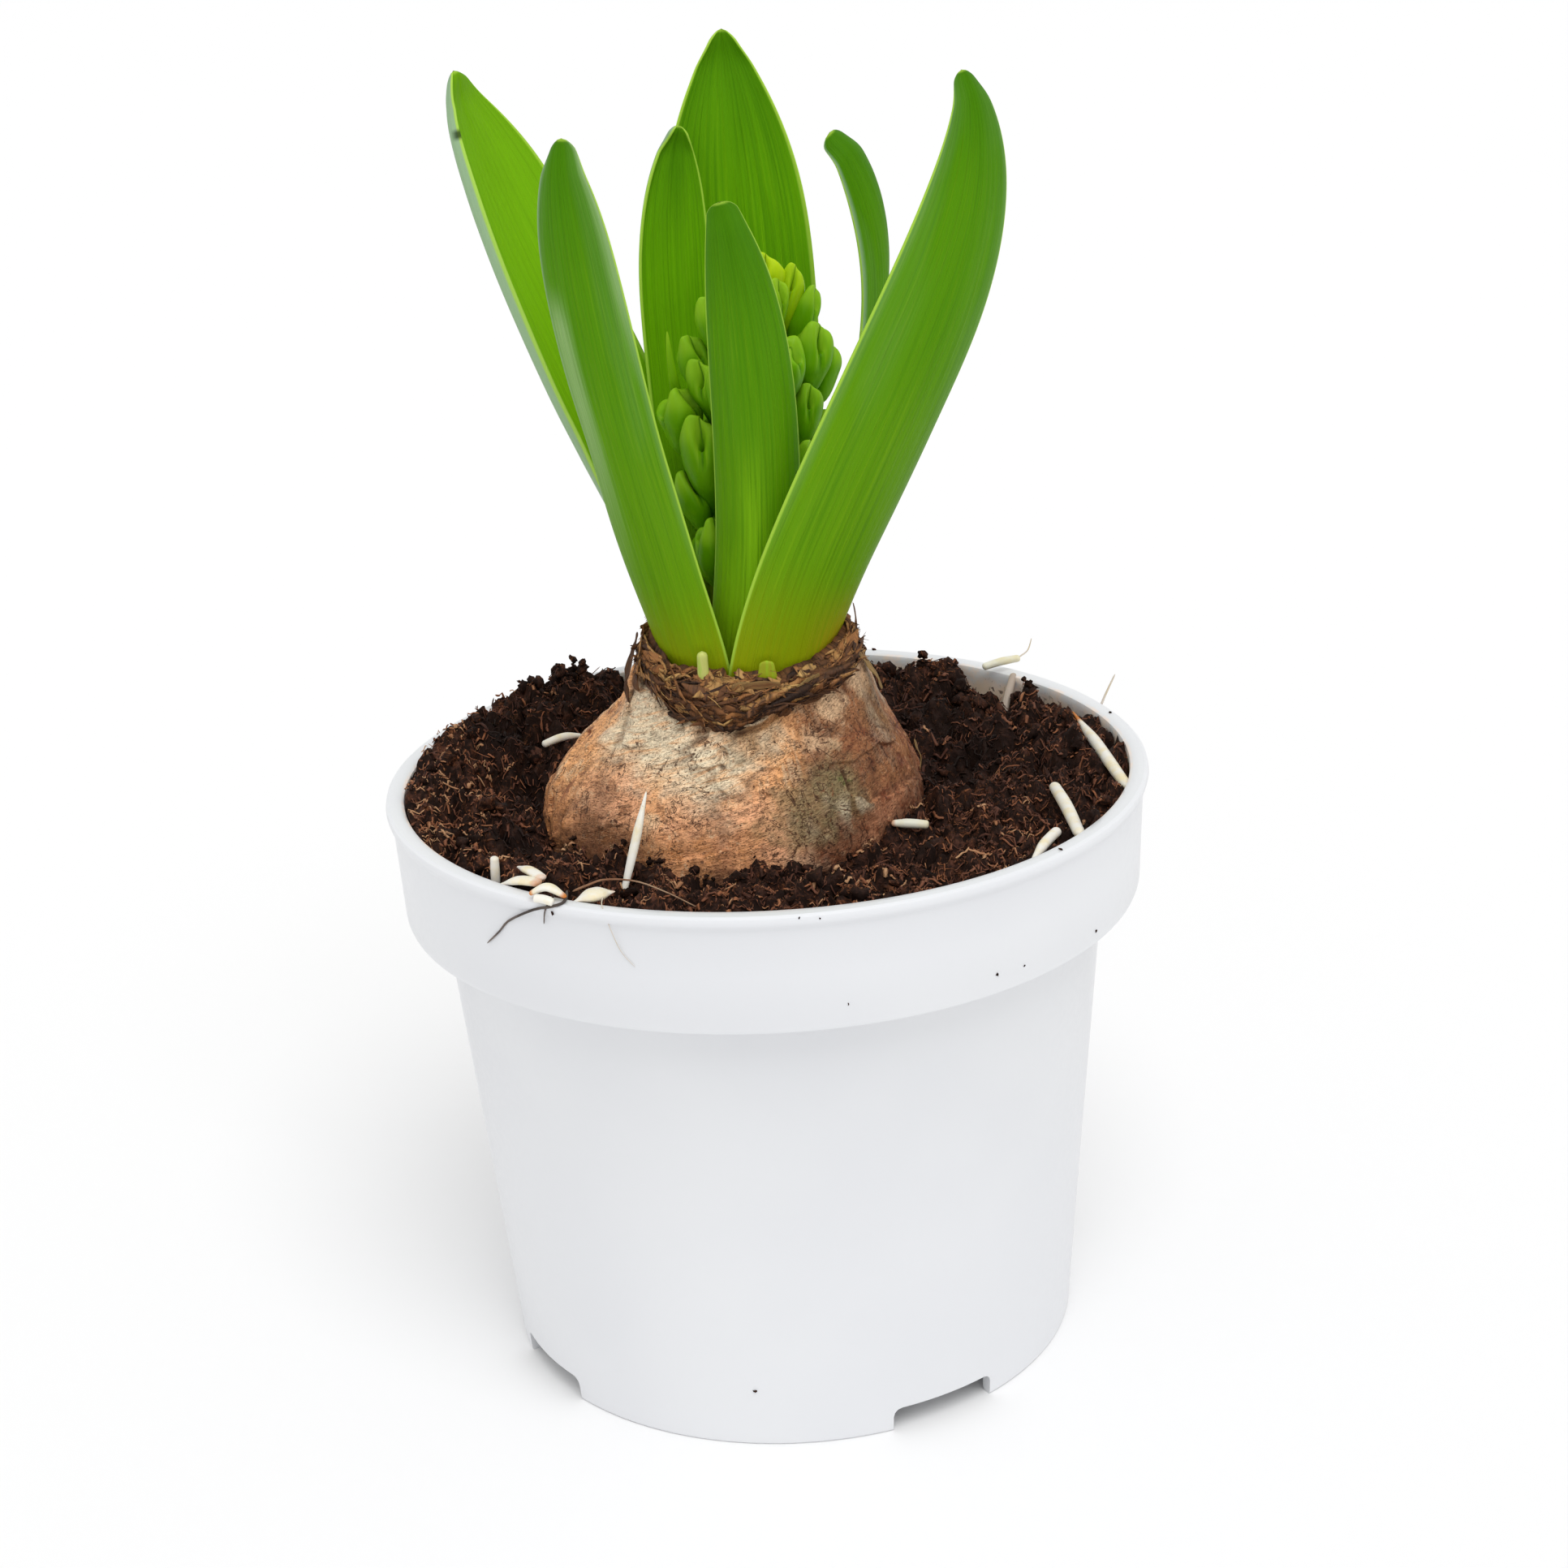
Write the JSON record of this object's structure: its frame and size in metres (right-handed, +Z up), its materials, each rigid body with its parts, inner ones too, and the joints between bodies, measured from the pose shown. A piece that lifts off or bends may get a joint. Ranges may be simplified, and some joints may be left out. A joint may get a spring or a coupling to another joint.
{
  "type": "potted hyacinth plant",
  "caption": "Potted hyacinth in bud: bulb with broad upright leaves and a spike of closed green buds, half sunk in peat in a stepped white plastic pot.",
  "frame": {"origin": "centre of the pot's base, on the surface that it stands on", "axes": "+Z up through the bulb and the flower spike, -Y towards the front, where the leaf over the spike stands"},
  "size_m": [0.12, 0.12, 0.206],
  "materials": {
    "white_plastic": "satin",
    "peat": "matte",
    "bulb_skin": "matte",
    "root": "satin",
    "dry_scale": "matte",
    "shoot": "satin",
    "leaf": "satin",
    "bud": "satin"
  },
  "bodies": {
    "root": {"pot": "white_plastic", "soil": "peat", "bulb": "bulb_skin", "roots": "root", "neck_scales": "dry_scale", "neck_shoot_left": "shoot", "neck_shoot_front": "shoot", "leaf_far_left": "leaf", "leaf_front_left": "leaf", "leaf_back": "leaf", "leaf_inner_left": "leaf", "leaf_front": "leaf", "leaf_right": "leaf", "leaf_back_right": "leaf", "flower_spike": "bud", "root_bit_01": "root", "root_bit_02": "root", "root_bit_03": "root", "root_bit_04": "root", "root_bit_05": "root", "root_bit_06": "root", "root_bit_07": "root", "root_bit_08": "root", "root_bit_09": "root", "root_bit_10": "root", "root_bit_11": "root", "root_bit_12": "root", "root_bit_13": "root"}
  },
  "joints": []
}
